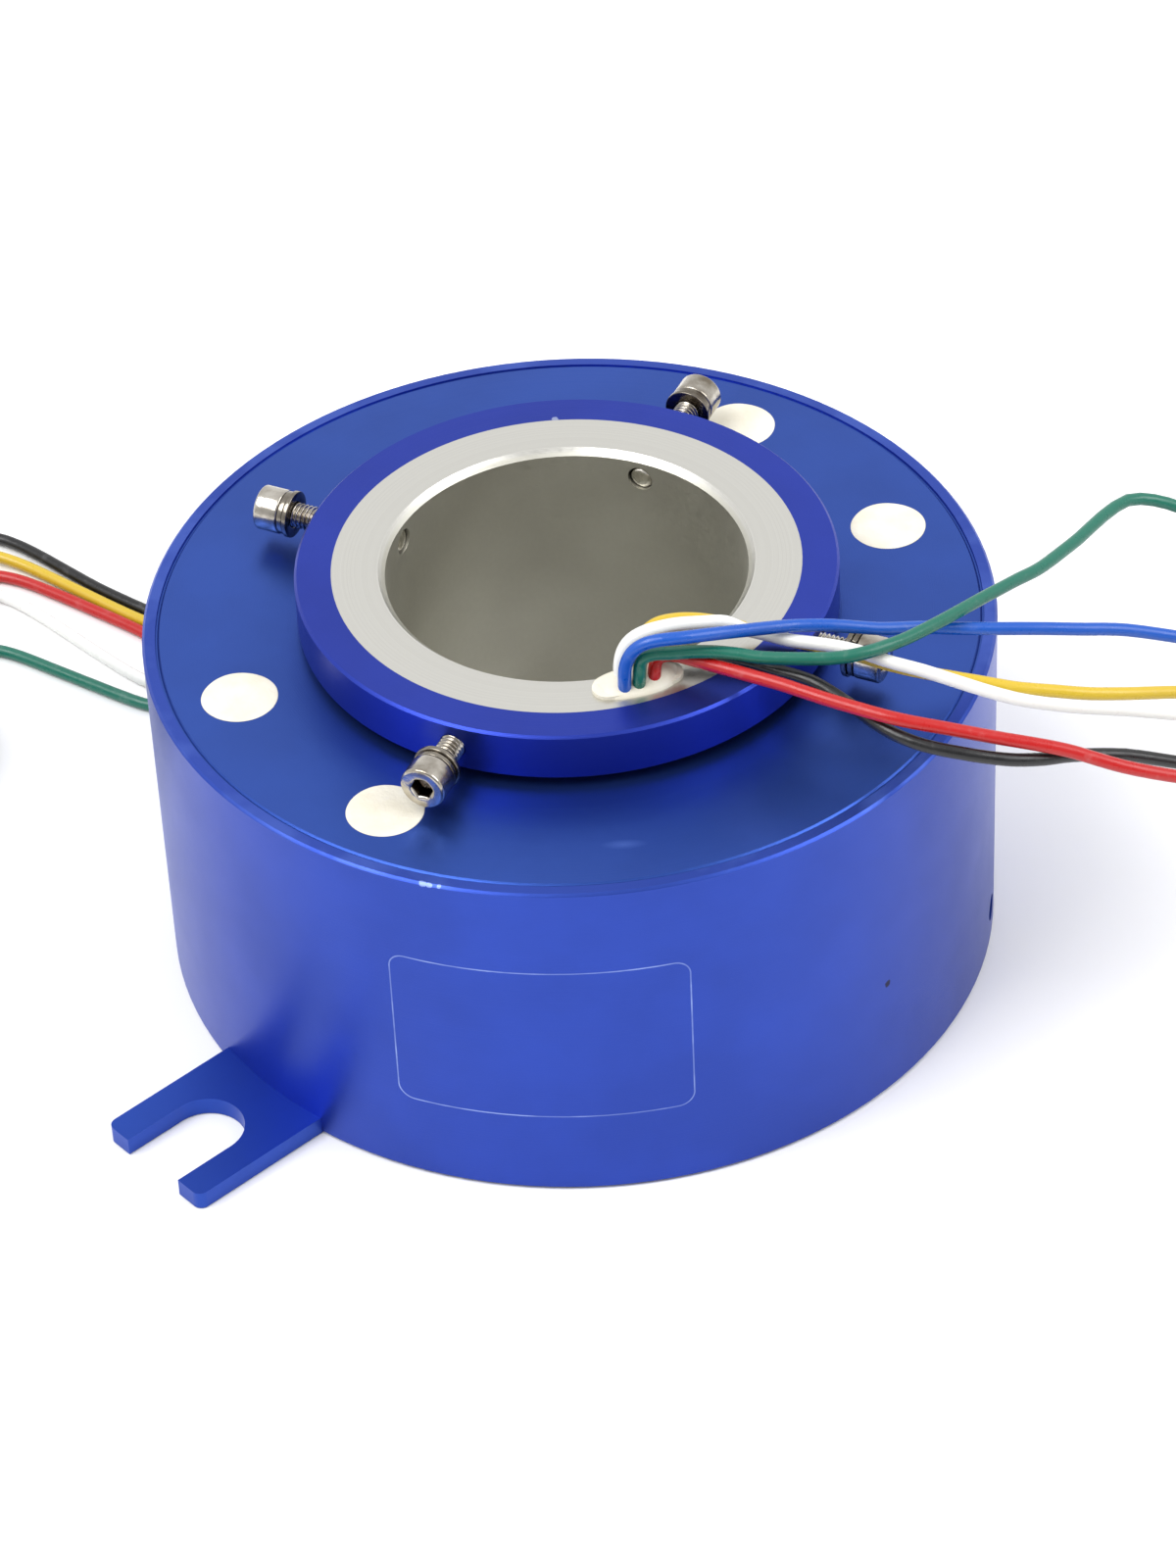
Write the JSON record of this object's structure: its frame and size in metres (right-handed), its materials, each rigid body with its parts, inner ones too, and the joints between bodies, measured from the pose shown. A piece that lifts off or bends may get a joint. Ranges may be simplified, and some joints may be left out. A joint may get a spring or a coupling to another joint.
{
  "type": "slip ring",
  "caption": "Through-bore slip ring with an anodised housing, a clamp collar with radial screws, a forked anti-rotation tab and free wire leads on both sides.",
  "frame": {"origin": "centre of the shaft bore in the plane of the face that the housing stands on", "axes": "+Z along the shaft bore, from the base towards the clamp collar; the anti-rotation tab points to -X -Y and the leads leave to +X on the rotor and -X on the housing"},
  "size_m": [0.3216, 0.1707, 0.0795],
  "materials": {
    "bare_aluminium": "turned, fine concentric tool marks",
    "blue_anodised": "blue anodised, satin",
    "sleeve_plastic": "moulded black plastic",
    "silver_alloy": "bright silver-gold contact alloy",
    "bearing_steel": "ground bearing steel",
    "cage_brass": "machined brass",
    "spring_steel": "phosphated spring steel",
    "stainless": "stainless steel, as turned",
    "black_steel": "blackened steel",
    "post_aluminium": "turned",
    "block_laminate": "glass-fibre laminate",
    "sealing_compound": "cured white sealing compound",
    "lead_blue": "smooth lead insulation",
    "lead_green": "smooth lead insulation",
    "lead_red": "smooth lead insulation",
    "lead_white": "smooth lead insulation",
    "lead_yellow": "smooth lead insulation",
    "lead_black": "smooth lead insulation",
    "lead_mixed": "bundled leads of all six colours"
  },
  "bodies": {
    "housing": {"housing_shell": "blue_anodised", "top_cover": "blue_anodised", "bottom_cover": "blue_anodised", "anti_rotation_tab": "blue_anodised", "tab_screws": "stainless", "shell_screws": "black_steel", "seal_plugs": "sealing_compound", "post_screws": "stainless", "brush_posts": "post_aluminium", "brush_blocks": "block_laminate", "brush_wires": "silver_alloy", "upper_outer_race": "bearing_steel", "lower_outer_race": "bearing_steel", "outlet_potting": "sealing_compound", "stator_lead_blue": "lead_blue", "stator_lead_green": "lead_green", "stator_lead_red": "lead_red", "stator_lead_white": "lead_white", "stator_lead_yellow": "lead_yellow", "stator_lead_black": "lead_black", "stator_lead_coil": "lead_mixed", "stator_blue_coil": "lead_blue"},
    "rotor": {"rotor_tube": "bare_aluminium", "clamp_collar": "blue_anodised", "ring_sleeve": "sleeve_plastic", "ring_spacers": "sleeve_plastic", "slip_ring_1": "silver_alloy", "slip_ring_2": "silver_alloy", "slip_ring_3": "silver_alloy", "slip_ring_4": "silver_alloy", "slip_ring_5": "silver_alloy", "slip_ring_6": "silver_alloy", "upper_inner_race": "bearing_steel", "lower_inner_race": "bearing_steel", "rotor_potting": "sealing_compound", "retaining_ring": "spring_steel", "rotor_lead_blue": "lead_blue", "rotor_lead_green": "lead_green", "rotor_lead_red": "lead_red", "rotor_lead_white": "lead_white", "rotor_lead_yellow": "lead_yellow", "rotor_lead_black": "lead_black", "rotor_lead_coil": "lead_mixed"},
    "upper_cage": {"upper_cage": "cage_brass", "upper_balls": "bearing_steel"},
    "lower_cage": {"lower_cage": "cage_brass", "lower_balls": "bearing_steel"},
    "clamp_screw_1": {"clamp_screw_1": "stainless", "spring_washer_1": "stainless", "plain_washer_1": "stainless"},
    "clamp_screw_2": {"clamp_screw_2": "stainless", "spring_washer_2": "stainless", "plain_washer_2": "stainless"},
    "clamp_screw_3": {"clamp_screw_3": "stainless", "spring_washer_3": "stainless", "plain_washer_3": "stainless"},
    "clamp_screw_4": {"clamp_screw_4": "stainless", "spring_washer_4": "stainless", "plain_washer_4": "stainless"}
  },
  "joints": [
    {"name": "rotor_spin", "type": "hinge", "parent": "housing", "child": "rotor", "pos_m": [0, 0, 0], "axis": [0, 0, 1], "continuous": true},
    {"name": "upper_cage_spin", "type": "hinge", "parent": "housing", "child": "upper_cage", "pos_m": [0, 0, 0.051], "axis": [0, 0, 1], "continuous": true},
    {"name": "lower_cage_spin", "type": "hinge", "parent": "housing", "child": "lower_cage", "pos_m": [0, 0, 0.009], "axis": [0, 0, 1], "continuous": true},
    {"name": "clamp_screw_1_travel", "type": "slide", "parent": "rotor", "child": "clamp_screw_1", "axis": [-0.4384, -0.8988, 0], "range_m": [0, 0.0045]},
    {"name": "clamp_screw_2_travel", "type": "slide", "parent": "rotor", "child": "clamp_screw_2", "axis": [0.8988, -0.4384, 0], "range_m": [0, 0.0045]},
    {"name": "clamp_screw_3_travel", "type": "slide", "parent": "rotor", "child": "clamp_screw_3", "axis": [0.4384, 0.8988, 0], "range_m": [0, 0.0045]},
    {"name": "clamp_screw_4_travel", "type": "slide", "parent": "rotor", "child": "clamp_screw_4", "axis": [-0.8988, 0.4384, 0], "range_m": [0, 0.0045]}
  ],
  "couplings": [
    {"joint": "upper_cage_spin", "follows": "rotor_spin", "ratio": 0.4625},
    {"joint": "lower_cage_spin", "follows": "rotor_spin", "ratio": 0.4625}
  ]
}
